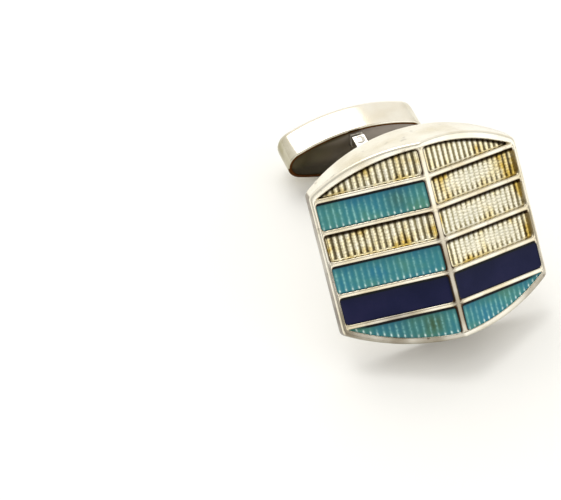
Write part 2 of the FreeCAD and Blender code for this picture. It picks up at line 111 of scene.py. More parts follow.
def polished_silver(name, clean, stain, tarnish_and_painted_light, smooth, dull, nicks=0.0, faint_mark=None):
    """Old polished silver: warm white with yellow blotches, brown where marked, soft dents and dark nicks.

    With a colour for faint marks, a mark is that colour where it is thin, and the full colour only where it is
    full.
    """
    material, tree = new_material(name)
    place = add(tree, "ShaderNodeTexCoord").outputs["Object"]
    blotch = add(tree, "ShaderNodeTexNoise", {"Vector": place, "Scale": per_metre(2.4), "Detail": 2.0})
    tone = add(tree, "ShaderNodeValToRGB", {"Fac": blotch.outputs["Fac"]},
               stops=[(0.40, linear(clean)), (0.78, linear(stain))])
    # This mark carries tarnish, and on some pieces painted shade and painted reflections as well.
    marked = add(tree, "ShaderNodeAttribute", attribute_name="tarnish_and_painted_light")
    patchy = add(tree, "ShaderNodeMapRange", {"Value": blotch.outputs["Fac"], "From Min": 0.35,
                                              "From Max": 0.6, "To Min": 0.65})
    pit = add(tree, "ShaderNodeTexNoise", {"Vector": place, "Scale": per_metre(0.8), "Detail": 4.0})
    nick = add(tree, "ShaderNodeMapRange", {"Value": pit.outputs["Fac"], "From Min": 0.63, "From Max": 0.70,
                                            "To Max": nicks})
    brown = add(tree, "ShaderNodeMath", {0: marked.outputs["Fac"], 1: patchy.outputs["Result"],
                                         2: nick.outputs["Result"]}, operation="MULTIPLY_ADD", use_clamp=True)
    deepen = add(tree, "ShaderNodeValToRGB", {"Fac": brown.outputs[0]},
                 stops=[(0.9, linear(faint_mark or tarnish_and_painted_light)), (1.0, linear(tarnish_and_painted_light))])
    colour = add(tree, "ShaderNodeMix", {0: brown.outputs[0], 6: tone.outputs["Color"],
                                         7: deepen.outputs["Color"]}, data_type="RGBA")
    rough = add(tree, "ShaderNodeMapRange", {"Value": blotch.outputs["Fac"], "From Min": 0.3,
                                             "From Max": 0.75, "To Min": smooth, "To Max": dull})
    wave = add(tree, "ShaderNodeTexNoise", {"Vector": place, "Scale": per_metre(0.35), "Detail": 3.0})
    dents = add(tree, "ShaderNodeBump", {"Height": wave.outputs["Fac"], "Strength": 0.10,
                                         "Distance": 0.05 * MM})
    shader = add(tree, "ShaderNodeBsdfPrincipled",
                 {"Base Color": colour.outputs[2], "Metallic": 1.0, "Roughness": rough.outputs["Result"],
                  "Normal": dents.outputs["Normal"]})
    add(tree, "ShaderNodeOutputMaterial", {"Surface": shader.outputs["BSDF"]})
    return material


def arch(x, half, corner, crown):
    """The height of an arched end over x, on an arc through its two corners and its crown."""
    radius = (half ** 2 + (crown - corner) ** 2) / (2 * (crown - corner))
    return crown - radius + math.sqrt(max(radius ** 2 - x ** 2, 0))


def bend(start, corner, end, steps):
    """Points of a soft corner between start and end, which are left out."""
    for step in range(1, steps):
        share = step / steps
        yield start * (1 - share) ** 2 + corner * (2 * share * (1 - share)) + end * share ** 2


def barrel(half, top, bottom, soft):
    """Points round an outline with straight sides, arched ends and soft corners, from the lower right one."""
    points = []
    for turn, near, far in ((1, bottom, top), (-1, top, bottom)):
        low, high = soft - near[0], far[0] - soft
        side = [Vector((half, low + (high - low) * step / SIDE_STEPS)) for step in range(SIDE_STEPS + 1)]
        reach = half - soft
        across = [reach * (1 - 2 * step / ARCH_STEPS) for step in range(ARCH_STEPS + 1)]
        over = [Vector((x, arch(x, half, *far))) for x in across]
        after = Vector((-half, far[0] - soft))
        points += [turn * point for point in
                   (*side, *bend(side[-1], Vector((half, far[0])), over[0], CORNER_STEPS), *over,
                    *bend(over[-1], Vector((-half, far[0])), after, CORNER_STEPS))]
    return points


def roof(x):
    """The height of the folded face over x."""
    return HEAD_DEPTH - SLOPE * abs(x)


def to_roof(front, back):
    """Where the wall's line from the ridge's level down to the back meets the folded face."""
    lean = (back.x - front.x) * math.copysign(1, front.x)
    share = SLOPE * abs(front.x) / (HEAD_DEPTH - SLOPE * lean)
    point = front.lerp(back, share)
    return Vector((*point, HEAD_DEPTH * (1 - share)))


def rounded(loops, radii, steps=4):
    """The loops of a profile with each corner loop rounded by its radius."""
    count, made = len(loops), []
    for index, radius in enumerate(radii):
        if not radius:
            made.append(loops[index])
            continue
        before, here, after = loops[index - 1], loops[index], loops[(index + 1) % count]
        start = [p + (q - p).normalized() * radius for p, q in zip(here, before)]
        end = [p + (q - p).normalized() * radius for p, q in zip(here, after)]
        curves = [[a, *bend(a, p, b, steps), b] for a, p, b in zip(start, here, end)]
        made += [list(loop) for loop in zip(*curves)]
    return made


def band(form, near, far):
    """Faces between two rings of vertices."""
    for index in range(len(near)):
        after = (index + 1) % len(near)
        form.faces.new((near[index], near[after], far[after], far[index]))


def skin(loops, closed=False):
    """A closed mesh over loops of equal length, joined in a ring or capped at both ends."""
    form = bmesh.new()
    rings = [[form.verts.new(point) for point in loop] for loop in loops]
    for near, far in zip(rings, rings[1:]):
        band(form, near, far)
    if closed:
        band(form, rings[-1], rings[0])
    else:
        form.faces.new(rings[0])
        form.faces.new(rings[-1])
    return form


def add_piece(name, form, to_frame, material, body, node, marks=None):
    """Sets a mesh drawn in millimetres into the frame, with its marks, and lets it stand for its node."""
    bmesh.ops.recalc_face_normals(form, faces=form.faces)
    for face in form.faces:
        face.smooth = True
    mesh = bpy.data.meshes.new(name)
    form.to_mesh(mesh)
    form.free()
    for mark, measure in (marks or {}).items():
        layer = mesh.attributes.new(mark, "FLOAT", "POINT")
        layer.data.foreach_set("value", [measure(vertex.co) for vertex in mesh.vertices])
    mesh.transform(to_frame)
    mesh.materials.append(material)
    piece = bpy.data.objects.new(name, mesh)
    bpy.context.scene.collection.objects.link(piece)
    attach(piece, body)
    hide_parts(node)


SHELL_CORNER, OPENING_SOFT, BRIGHT_EDGE = 0.3, 0.25, 0.22
FOOT_SOFT, EDGE_SOFT, RIM_SOFT = 0.08, 0.2, 0.012
front_outline = barrel(FACE_HALF - SIDE_LEAN * RIDGE_RISE, (CORNER - TOP_LEAN * RIDGE_RISE, CROWN),
                       (CORNER - BOTTOM_LEAN * RIDGE_RISE, CROWN), SHELL_CORNER)
back_outline = barrel(FACE_HALF + SIDE_LEAN * EDGE_DEPTH,
                      (CORNER + TOP_LEAN * EDGE_DEPTH, CROWN + TOP_LEAN * HEAD_DEPTH),
                      (CORNER + BOTTOM_LEAN * EDGE_DEPTH, CROWN + BOTTOM_LEAN * HEAD_DEPTH), SHELL_CORNER)
opening_end = (OPENING_CORNER, OPENING_CROWN)
opening = barrel(OPENING_HALF, opening_end, opening_end, OPENING_SOFT)
foot_line = [Vector((*point, 0)) for point in back_outline]
edge_line = [to_roof(front, back) for front, back in zip(front_outline, back_outline)]
shell_profile = [
    foot_line,
    [edge + (foot - edge).normalized() * BRIGHT_EDGE for edge, foot in zip(edge_line, foot_line)],
    edge_line,
    [Vector((*point, roof(point.x))) for point in opening],
    [Vector((*point, 0)) for point in opening],
]
# Tarnish and painted shade: strong on the sides and bottom, faint on top; the lower rim's is painted shade.
SIDE_FILM_AND_SHADE, TOP_FILM_AND_SHADE, BOTTOM_FILM_AND_SHADE = 0.95, 0.08, 0.7
WALL_MARK_START, WALL_MARK_FULL = 0.6 * BRIGHT_EDGE, 0.9 * BRIGHT_EDGE
LEFT_RIM_SHADE, RIGHT_RIM_SHADE, CORNER_RIM_SHADE, CORNER_SHADE_START = 0.74, 0.25, 0.4, 5.4


def climb(value, low, high):
    """0 up to low, 1 from high on, and an even rise between."""
    return min(max((value - low) / (high - low), 0.0), 1.0)


def soft_step(value, middle, width):
    """From 0 to 1 in a soft step of a width."""
    return 1 / (1 + math.exp((middle - value) / width))


# Painted shade: the wall's faces turned from the light and the whole lower rim are made darker than the top.
def wall_tarnish_and_shade(point):
    """Brown below the wall's bright edge, most on the sides, and on the lower rim, most left of the ridge."""
    on_wall = climb(roof(point.x) - point.z, WALL_MARK_START, WALL_MARK_FULL)
    if abs(point.x) > FACE_HALF - SIDE_RIM / 2:
        return SIDE_FILM_AND_SHADE * on_wall
    if point.y > 0:
        return TOP_FILM_AND_SHADE * on_wall
    near_corner = soft_step(point.x, CORNER_SHADE_START, SHELL_CORNER)
    on_rim = LEFT_RIM_SHADE if point.x < 0 else RIGHT_RIM_SHADE + CORNER_RIM_SHADE * near_corner
    return max(BOTTOM_FILM_AND_SHADE * on_wall, on_rim)


shell_form = skin(rounded(shell_profile, (FOOT_SOFT, 0, EDGE_SOFT, RIM_SOFT, 0)), closed=True)
shell_silver = polished_silver("polished_silver_wall", "#F4F0E2", "#E4DBC2", "#51412B", 0.17, 0.28,
                               nicks=0.3)
add_piece("head_shell_struck", shell_form, head_frame, shell_silver, "head", "head_shell",
          {"tarnish_and_painted_light": wall_tarnish_and_shade})


# Cell grille: pierced from silver sheet, folded with the face and soldered in the opening.
# Its bars are rubbed round and bright on top, and their walls go down brown into the cells:
# tarnish, with painted shade darkest under the bars.
CENTRE_BAR, CROSS_BAR, CROSS_BARS = 0.55, 0.36, 5
ROWS = CROSS_BARS + 1
ROW_PITCH = (2 * OPENING_CROWN + CROSS_BAR) / ROWS
SEAT_GAP, BORDER, CELL_SOFT, CELL_TIP, TIP_SOFT_SHARE = 0.02, 0.03, 0.36, 0.02, 0.45
CELL_FLOOR = 0.52
BAR_LOOPS = ((0.0, 0.0), (0.35, 0.004), (0.65, 0.018), (0.88, 0.045), (1.0, 0.085))
WALL_LOOPS = ((0.025, 0.15), (0.045, 0.30), (0.06, CELL_FLOOR))
CREST_DROP = 0.035
LONG_STEPS, SHORT_STEPS, CELL_CORNER_STEPS = 48, 12, 5
FOLD = math.atan(SLOPE)


def opening_reach(x):
    """How far the opening reaches up, and down, at x."""
    return arch(x, OPENING_HALF, OPENING_CORNER, OPENING_CROWN)


def row_edges(row, inset):
    """The lower and the upper edge of a row, as functions of x, drawn in by inset from the bars' middles."""
    def straight(level):
        return lambda x: level

    def end(sign, gap):
        return lambda x: sign * (opening_reach(x) - gap)

    low, high = (ROWS / 2 - row) * ROW_PITCH + inset, (ROWS / 2 - row + 1) * ROW_PITCH - inset
    at_rim = SEAT_GAP + (inset - CROSS_BAR / 2 + BORDER if inset else 0)
    return (end(-1, at_rim) if row == ROWS else straight(low),
            end(1, at_rim) if row == 1 else straight(high))


def cell_outline(side, row, draw_in):
    """Points round a cell on the plan. With no draw_in they are the middles of the bars round it."""
    at_bar = draw_in is not None
    low, high = row_edges(row, CROSS_BAR / 2 + draw_in if at_bar else 0)
    left = CENTRE_BAR / 2 + draw_in if at_bar else 0
    right = OPENING_HALF - SEAT_GAP - (BORDER + draw_in if at_bar else 0)
    while high(right) - low(right) < CELL_TIP:
        right -= CELL_TIP / 2
    near_soft = CELL_SOFT if at_bar else 0
    far_soft = min(near_soft, TIP_SOFT_SHARE * (high(right) - low(right)))
    across = [left + near_soft + (right - left - near_soft - far_soft) * step / LONG_STEPS
              for step in range(LONG_STEPS + 1)]

    def upright(x, soft):
        rise = high(x) - low(x) - 2 * soft
        return [Vector((x, low(x) + soft + rise * step / SHORT_STEPS)) for step in range(SHORT_STEPS + 1)]

    sides = ([Vector((x, low(x))) for x in across], upright(right, far_soft),
             [Vector((x, high(x))) for x in reversed(across)], list(reversed(upright(left, near_soft))))
    corners = [Vector((x, edge(x))) for x, edge in ((right, low), (right, high), (left, high), (left, low))]
    points = []
    for index, line in enumerate(sides):
        points += [*line, *bend(line[-1], corners[index], sides[(index + 1) % 4][0], CELL_CORNER_STEPS)]
    return [Vector((side * point.x, point.y)) for point in points]


def below_roof(point, depth):
    """A point of the plan, set at a depth below the folded face and square to its slope."""
    tilt = math.copysign(FOLD, point.x) if abs(point.x) > SEAT_GAP / 2 else 0
    out = Vector((math.sin(tilt), 0, math.cos(tilt)))
    return Vector((*point, roof(point.x))) - out * depth


grille = bmesh.new()
for side in (-1, 1):
    for row in range(1, ROWS + 1):
        middles, edges = cell_outline(side, row, None), cell_outline(side, row, 0)
        loops = []
        for share, drop in BAR_LOOPS:
            crests = [CREST_DROP * (1 - share) ** 2 if abs(point.x) < SEAT_GAP else 0 for point in middles]
            loops.append([below_roof(middle.lerp(edge, share), drop + crest)
                          for middle, edge, crest in zip(middles, edges, crests)])
        for lean, depth in WALL_LOOPS:
            loops.append([below_roof(point, depth) for point in cell_outline(side, row, lean)])
        loops.append([below_roof(point, CELL_FLOOR) for point in middles])
        rings = [[grille.verts.new(point) for point in loop] for loop in loops]
        for near, far in zip(rings, rings[1:]):
            band(grille, near, far)
bmesh.ops.remove_doubles(grille, verts=grille.verts, dist=SEAT_GAP / 10)
bmesh.ops.dissolve_degenerate(grille, edges=grille.edges, dist=SEAT_GAP / 100)
bmesh.ops.bridge_loops(grille, edges=[edge for edge in grille.edges if edge.is_boundary])


def depth_of(point):
    """How far a point lies below the folded face, square to its slope."""
    return (roof(point.x) - point.z) * math.cos(FOLD)


def on_plan(point):
    """The point of the plan from which a point below the face was set."""
    return Vector((point.x + math.copysign(math.sin(FOLD), point.x) * depth_of(point), point.y))


def fade(distance, width, power=2):
    """1 at no distance, and next to nothing beyond a width, the more so for a high power."""
    return math.exp(-(distance / width) ** power)


BAR_EDGE, BAR_WALL = 0.012, 0.057
RIM_FILM, RIDGE_FILM, RIDGE_FILM_TOP, RIDGE_FILM_BLUR = 0.06, 0.6, 0.8, 0.8
BAR_STAIN, STAIN_PLACE, STAIN_WIDTH, STAIN_TOP = 0.7, -4.5, 1.8, -1.5 * ROW_PITCH
# Painted shade: walls under a bar, at the centre bar and at the left-hand rim are darker than the others.
END_WALL, RIGHT_END_WALL, UNDER_BAR, OVER_BAR = 1.6, 0.6, 1.8, 0.2


def bar_tarnish_and_shade(point):
    """Brown down a cell's walls, with painted shade darkest under a bar, and a faint stain low on the ridge."""
    reach = abs(on_plan(point).x)
    deep = climb(depth_of(point), BAR_EDGE, BAR_WALL) if reach >= CENTRE_BAR / 4 else 0
    if min(reach - CENTRE_BAR / 2, OPENING_HALF - reach) < 2 * WALL_LOOPS[-1][0]:
        by_rim = reach > OPENING_HALF / 2
        faint_mark = RIM_FILM if by_rim else RIDGE_FILM * (1 - soft_step(point.y, RIDGE_FILM_TOP, RIDGE_FILM_BLUR))
        return faint_mark + deep * (RIGHT_END_WALL if by_rim and point.x > 0 else END_WALL)
    nearest_bar = round(point.y / ROW_PITCH) * ROW_PITCH
    stained = point.x < 0 and nearest_bar < STAIN_TOP
    faint_mark = BAR_STAIN * fade(point.x - STAIN_PLACE, STAIN_WIDTH) if stained else 0.0
    return faint_mark + deep * (UNDER_BAR if point.y < nearest_bar else OVER_BAR)


grille_silver = polished_silver("polished_silver_bars", "#F3ECDA", "#DDCFA9", "#3A240E", 0.16, 0.32,
                                nicks=0.2)
add_piece("cell_grille_pierced", grille, head_frame, grille_silver, "head", "cell_grille",
          {"tarnish_and_painted_light": bar_tarnish_and_shade})


# Reeded plates: gilt sheet rolled with fine half-round reeds, one behind each slope of the grille.
# The reeds end in a cove at the bars. The gilding is worn to silver in the middle of the right-hand
# cells, where the reeds are beaded flat, and the grooves hold brown dirt.
REEDS, REED_HEIGHT, REED_TOP, REED_SHEET = 17, 0.15, 0.34, 0.17
REED_STEPS, COVE, COVE_WIDTH = 8, 0.2, 0.13
BEAD, BEAD_WANDER, BEAD_SHIFT = 0.24, 0.6, 0.37
WANDER_BY_REED, WANDER_BY_SIDE, WANDER_BY_HEIGHT = 3.7, 11, 1.3
NOTCH, WORN_NOTCH, WORN_GROOVE = 0.1, 0.35, 0.45
LEFT_WEAR, TOP_WEAR, WEAR_HEIGHT, WEAR_LENGTH = 0.3, 0.12, 0.8, 2.0
END_GILT, END_GILT_WIDTH, TOP_GILT, TOP_GILT_WIDTH = 0.95, 0.4, 0.9, 0.5
GILT_SPOTS = ((6.9, 1.1, 0.7), (1.5, 0.7, 1.1))
BARE_WEAR, BEADED_WEAR, GILT_HOLD = 0.35, 0.55, 0.4
GROOVE_DIRT, WORN_DIRT = 1.2, 0.5
BAR_SHADE, END_SHADE, SHADE_WIDTH, SHADE_POWER = 0.985, 0.36, 0.3, 8
REED_PITCH = (OPENING_HALF - CENTRE_BAR / 2) / REEDS
PLATE_ROWS = 240


def gilt_reeds():
    """Gilt silver: cream on the crests, yellow in patches, brown in the grooves and under the bars."""
    material, tree = new_material("gilt_reeded_silver")
    place = add(tree, "ShaderNodeTexCoord").outputs["Object"]
    patch = add(tree, "ShaderNodeTexNoise", {"Vector": place, "Scale": per_metre(1.5), "Detail": 4.0})
    grain = add(tree, "ShaderNodeTexNoise", {"Vector": place, "Scale": per_metre(0.16), "Detail": 2.0})
    groove = add(tree, "ShaderNodeAttribute", attribute_name="groove")
    worn = add(tree, "ShaderNodeAttribute", attribute_name="worn")
    shaded = add(tree, "ShaderNodeAttribute", attribute_name="shaded")
    uneven = add(tree, "ShaderNodeMath", {0: patch.outputs["Fac"], 1: 0.5}, operation="SUBTRACT")
    gilding = add(tree, "ShaderNodeMath", {0: uneven.outputs[0], 1: 2.4, 2: worn.outputs["Fac"]},
                  operation="MULTIPLY_ADD", use_clamp=True)
    crest = add(tree, "ShaderNodeValToRGB", {"Fac": gilding.outputs[0]},
                stops=[(0.0, linear("#DDBF64")), (0.3, linear("#F8ECC0")), (0.6, linear("#F9F3DC")),
                       (1.0, linear("#EBE8D6"))])
    dirt = add(tree, "ShaderNodeValToRGB", {"Fac": gilding.outputs[0]},
               stops=[(0.1, linear("#301C05")), (0.9, linear("#9A9066"))])
    deep = add(tree, "ShaderNodeMath", {0: grain.outputs["Fac"], 1: 0.6, 2: groove.outputs["Fac"]},
               operation="MULTIPLY_ADD")
    filled = add(tree, "ShaderNodeMapRange", {"Value": deep.outputs[0], "From Min": 0.48, "From Max": 1.0,
                                              "To Max": 0.92})
    ribbed = add(tree, "ShaderNodeMix", {0: filled.outputs["Result"], 6: crest.outputs["Color"],
                                         7: dirt.outputs["Color"]}, data_type="RGBA")
    colour = add(tree, "ShaderNodeMix", {0: shaded.outputs["Fac"], 6: ribbed.outputs[2],
                                         7: linear("#1E1206")}, data_type="RGBA")
    rough = add(tree, "ShaderNodeMapRange", {"Value": filled.outputs["Result"], "To Min": 0.28,
                                             "To Max": 0.6})
    beads = add(tree, "ShaderNodeBump", {"Height": grain.outputs["Fac"], "Strength": 0.5,
                                         "Distance": 0.05 * MM})
    shader = add(tree, "ShaderNodeBsdfPrincipled",
                 {"Base Color": colour.outputs[2], "Metallic": 1.0, "Roughness": rough.outputs["Result"],
                  "Normal": beads.outputs["Normal"]})
    add(tree, "ShaderNodeOutputMaterial", {"Surface": shader.outputs["BSDF"]})
    return material


def reed_phase(x):
    """Where a point lies across its reed: 0 on the groove and 1 on the crest."""
    return 0.5 - 0.5 * math.cos(2 * math.pi * (abs(x) - CENTRE_BAR / 2) / REED_PITCH)


def row_place(y):
    """The rows above a height on the face, and the share of its own row above it."""
    return (OPENING_CROWN - y + CROSS_BAR / 2) / ROW_PITCH


def clearances(plan):
    """How far a point of the plan is below the bar over it, above the bar under it, and from the end bars."""
    reach = opening_reach(plan.x)
    share = row_place(plan.y) % 1
    below = min(share * ROW_PITCH - CROSS_BAR / 2, reach - plan.y)
    above = min((1 - share) * ROW_PITCH - CROSS_BAR / 2, reach + plan.y)
    from_ends = min(abs(plan.x) - CENTRE_BAR / 2, OPENING_HALF - abs(plan.x))
    return max(below, 0), max(above, 0), max(from_ends, 0)


def wear(plan):
    """How far the reeds are worn and beaded: most in the middle of a right-hand cell below the top row."""
    below, above, from_ends = clearances(plan)
    middle = min(min(below, above) / WEAR_HEIGHT, from_ends / WEAR_LENGTH, 1)
    is_high = plan.y > OPENING_CROWN - ROW_PITCH
    return middle * (LEFT_WEAR if plan.x < 0 else TOP_WEAR if is_high else 1.0)


def gilding_left(plan):
    """How much gilding is left on the right: at the cells' far ends, and in spots of the second row."""
    if plan.x < 0:
        return 0.0
    at_end = END_GILT * fade(OPENING_HALF - plan.x, END_GILT_WIDTH)
    if not 1 < row_place(plan.y) < 2:
        return at_end
    along_top = TOP_GILT * fade(clearances(plan)[0], TOP_GILT_WIDTH)
    return at_end + along_top + sum(much * fade(plan.x - x, wide) for x, wide, much in GILT_SPOTS)


def groove_dirt(point):
    """Dirt by the depth of a groove, less of it where the reeds are worn."""
    deep = climb(depth_of(point), REED_TOP, REED_TOP + REED_HEIGHT)
    return (GROOVE_DIRT - WORN_DIRT * wear(on_plan(point))) * deep


def worn_gilding(point):
    """How far the gilding is worn to silver."""
    plan = on_plan(point)
    return BARE_WEAR + BEADED_WEAR * wear(plan) - GILT_HOLD * gilding_left(plan)


def bar_shade(point):
    """Black under the bar over a cell, and brown down the right-hand end of a right-hand cell."""
    plan = on_plan(point)
    under_bar = BAR_SHADE * fade(clearances(plan)[0], SHADE_WIDTH, SHADE_POWER)
    return max(under_bar, END_SHADE * fade(OPENING_HALF - plan.x, SHADE_WIDTH))


def slab(lines, base):
    """A closed mesh with a top through lines of points, and an underside at a depth below the folded face."""
    form = bmesh.new()
    grid = [[form.verts.new(point) for point in line] for line in lines]
    for near, far in zip(grid, grid[1:]):
        for step in range(len(near) - 1):
            form.faces.new((near[step], near[step + 1], far[step + 1], far[step]))
    border = [*grid[0][:-1], *(line[-1] for line in grid[:-1]), *reversed(grid[-1][1:]),
              *(line[0] for line in reversed(grid[1:]))]
    under = [form.verts.new(below_roof(vertex.co.to_2d(), base)) for vertex in border]
    band(form, border, under)
    form.faces.new(under)
    return form


def reed_rise(x, plan, side):
    """How high the sheet stands over its grooves: a reed notched into beads, or the cove at a bar."""
    reed = math.floor((x - CENTRE_BAR / 2) / REED_PITCH)
    own_place = reed * WANDER_BY_REED + side * WANDER_BY_SIDE
    wander = noise.noise(Vector((own_place, plan.y * WANDER_BY_HEIGHT, 0)))
    notch = 0.5 - 0.5 * math.cos(2 * math.pi * (plan.y / BEAD + BEAD_WANDER * wander + BEAD_SHIFT * reed))
    worn = wear(plan)
    height = REED_HEIGHT * (1 - (NOTCH + WORN_NOTCH * worn) * notch)
    filled = WORN_GROOVE * worn
    reeded = height * (filled + (1 - filled) * math.sqrt(reed_phase(x)))
    return max(reeded, COVE * fade(min(clearances(plan)[1:]), COVE_WIDTH))


def reeded_plate(side):
    """The sheet's reeded top, with coves at the bars, and its flat underside, cut to the opening."""
    base = REED_TOP + REED_HEIGHT + REED_SHEET
    columns = [SEAT_GAP + base * math.sin(FOLD),
               *(CENTRE_BAR / 2 + REED_PITCH * step / REED_STEPS for step in range(REEDS * REED_STEPS)),
               OPENING_HALF - SEAT_GAP]
    lines = []
    for x in columns:
        reach = opening_reach(x) - SEAT_GAP
        plans = [Vector((side * x, reach * (2 * step / PLATE_ROWS - 1))) for step in range(PLATE_ROWS + 1)]
        lines.append([below_roof(plan, REED_TOP + REED_HEIGHT - reed_rise(x, plan, side)) for plan in plans])
    return slab(lines, base)


reed_metal = gilt_reeds()
for side, name in ((-1, "left"), (1, "right")):
    add_piece(f"reeded_plate_{name}_rolled", reeded_plate(side), head_frame, reed_metal, "head",
              f"reeded_plate_{name}", {"groove": groove_dirt, "worn": worn_gilding, "shaded": bar_shade})


# Enamel: glass fired into the cells over the reeds and stoned nearly level with the bars.
# The teal is clear over the reeds; painted highlights show them as bright lines, brightest at their lower ends.
# The navy is opaque. Dirt lies in the join at the bars, a painted shadow darkens the top of each cell,
# and two spots of the teal are stained green.
ENAMEL_DEPTH, ENAMEL_BASE, TUCK, MENISCUS, MENISCUS_WIDTH = 0.10, 0.33, 0.03, 0.045, 0.08
RIB_SWELL = 0.018
ENAMEL_COLUMNS, ENAMEL_LINES = REEDS * 12, 40
CELL_ROWS = (("bare", "bare"), ("teal", "bare"), ("bare", "bare"),
             ("teal", "bare"), ("navy", "navy"), ("teal", "teal"))
MOSS = ((-1.95, -6.05, 0.62, 0.85), (-2.35, 3.75, 0.8, 0.6), (-3.6, -6.6, 2.6, 0.35))
# Painted shadow under the bar over a cell, and painted shade fading down from it.
SHADOW_WIDTH, SHADOW_POWER, FULL_SHADOW_CELL = 0.16, 6, 0.9
TOP_SHADE, TOP_SHADE_WIDTH, JOIN_DIRT, JOIN_WIDTH = 0.24, 0.6, 0.9, 0.07
LINE_START, LINE_FULL, LINE_LEVEL, LINE_SWING = 0.1, 0.7, 0.85, 0.9
LINE_DRIFT, LINE_BROAD, LINE_NARROW, LINE_POWER = (0.4, 0.5, 3), 0.25, 0.75, 6
GLINT, GLINT_HEIGHT, GLINT_LENGTH, GLINT_POWER = 1.6, 0.2, 0.09, 8


def enamel(name, tones, crest, moss):
    """Fired glass: cloudy tones, painted highlights over the reeds, dark edges, green stains and fine pits."""
    material, tree = new_material(name)
    place = add(tree, "ShaderNodeTexCoord").outputs["Object"]
    cloud = add(tree, "ShaderNodeTexNoise", {"Vector": place, "Scale": per_metre(2.6), "Detail": 5.0})
    grain = add(tree, "ShaderNodeTexNoise", {"Vector": place, "Scale": per_metre(0.2), "Detail": 3.0})
    tone = add(tree, "ShaderNodeValToRGB", {"Fac": cloud.outputs["Fac"]},
               stops=list(zip((0.36, 0.5, 0.66), map(linear, tones))))
    uneven = add(tree, "ShaderNodeMapRange", {"Value": grain.outputs["Fac"], "From Min": 0.35,
                                              "From Max": 0.65, "To Min": 0.25, "To Max": 0.95})
    colour = tone.outputs["Color"]
    # Painted light: the rib and glint marks are highlights, and the edge mark is partly a painted shadow.
    for mark, tint in (("moss", moss), ("painted_rib_highlight", crest), ("glint", "#DDF1EC"), ("edge", "#0E1216")):
        share = add(tree, "ShaderNodeAttribute", attribute_name=mark).outputs["Fac"]
        if mark in ("painted_rib_highlight", "glint"):
            share = add(tree, "ShaderNodeMath", {0: share, 1: uneven.outputs["Result"]},
                        operation="MULTIPLY", use_clamp=True).outputs[0]
        colour = add(tree, "ShaderNodeMix", {0: share, 6: colour, 7: linear(tint)},
                     data_type="RGBA").outputs[2]
    pits = add(tree, "ShaderNodeBump", {"Height": grain.outputs["Fac"], "Strength": 0.3,
                                        "Distance": 0.03 * MM})
    shader = add(tree, "ShaderNodeBsdfPrincipled",
                 {"Base Color": colour, "Roughness": 0.3, "IOR": 1.52, "Specular IOR Level": 0.1,
                  "Normal": pits.outputs["Normal"]})
    add(tree, "ShaderNodeOutputMaterial", {"Surface": shader.outputs["BSDF"]})
    return material


def enamel_fill(side, row, swell):
    """One cell's glass: a level top that swells over the reeds and creeps up at the bars, and a flat base."""
    low, high = row_edges(row, CROSS_BAR / 2 - TUCK)
    left, right = CENTRE_BAR / 2 - TUCK, OPENING_HALF - SEAT_GAP - BORDER + TUCK
    while high(right) - low(right) < SEAT_GAP:
        right -= SEAT_GAP
    lines = []
    for column in range(ENAMEL_COLUMNS + 1):
        x = left + (right - left) * column / ENAMEL_COLUMNS
        line = []
        for step in range(ENAMEL_LINES + 1):
            share = 0.5 - 0.5 * math.cos(math.pi * step / ENAMEL_LINES)
            y = low(x) + (high(x) - low(x)) * share
            from_bar = max(min(x - left, right - x, y - low(x), high(x) - y) - TUCK, 0)
            creep = MENISCUS * fade(from_bar, MENISCUS_WIDTH, 1)
            line.append(below_roof(Vector((side * x, y)), ENAMEL_DEPTH - creep - swell * reed_phase(x)))
        lines.append(line)
    return slab(lines, ENAMEL_BASE)


def join_dirt_and_shadow(point):
    """Painted shadow and shade along the top of a cell under the bar, and dirt in the join at its foot and ends.
    """
    below, above, from_ends = clearances(on_plan(point))
    shadow = fade(below, SHADOW_WIDTH, SHADOW_POWER) + TOP_SHADE * fade(below, TOP_SHADE_WIDTH)
    in_join = JOIN_DIRT * fade(min(above, from_ends), JOIN_WIDTH)
    return shadow * min((below + above) / FULL_SHADOW_CELL, 1) + in_join


def moss_mark(point):
    """Dull green stains in the teal."""
    return sum(much * fade(math.hypot(point.x - x, point.y - y), wide) for x, y, wide, much in MOSS)


def reed_highlight_line(point):
    """A painted highlight: a bright line along the crest of each reed."""
    plan = on_plan(point)
    crest = reed_phase(plan.x)
    clear = climb(clearances(plan)[0], LINE_START, LINE_FULL)
    uneven = LINE_LEVEL + LINE_SWING * noise.noise(Vector((*plan, 1)) * Vector(LINE_DRIFT))
    return clear * uneven * (LINE_BROAD * crest + LINE_NARROW * crest ** LINE_POWER)


def reed_glint(point):
    """A painted glint: the bright lower end of each reed, as seen through the glass."""
    plan = on_plan(point)
    at_foot = fade(clearances(plan)[1] - GLINT_HEIGHT, GLINT_LENGTH)
    return GLINT * reed_phase(plan.x) ** GLINT_POWER * at_foot


# The teal's crest colour is the painted highlight over the reeds.
teal = enamel("clear_teal_enamel", ("#2E7890", "#3A8188", "#4F8877"), "#8CC8C4", "#3F5F46")
navy = enamel("opaque_navy_enamel", ("#0F1436", "#14183B", "#1B1C3F"), "#14183B", "#14183B")
teal_marks = {"painted_rib_highlight": reed_highlight_line, "moss": moss_mark, "edge": join_dirt_and_shadow, "glint": reed_glint}
glass = {"teal": (teal, RIB_SWELL, teal_marks), "navy": (navy, 0.0, {"edge": join_dirt_and_shadow})}
for row, colours in enumerate(CELL_ROWS, start=1):
    for side, name, colour in zip((-1, 1), ("left", "right"), colours):
        if colour != "bare":
            fired, swell, marks = glass[colour]
            add_piece(f"enamel_{colour}_{name}_{row}_fired", enamel_fill(side, row, swell), head_frame, fired,
                      "head", f"enamel_{colour}_{name}_{row}", marks)


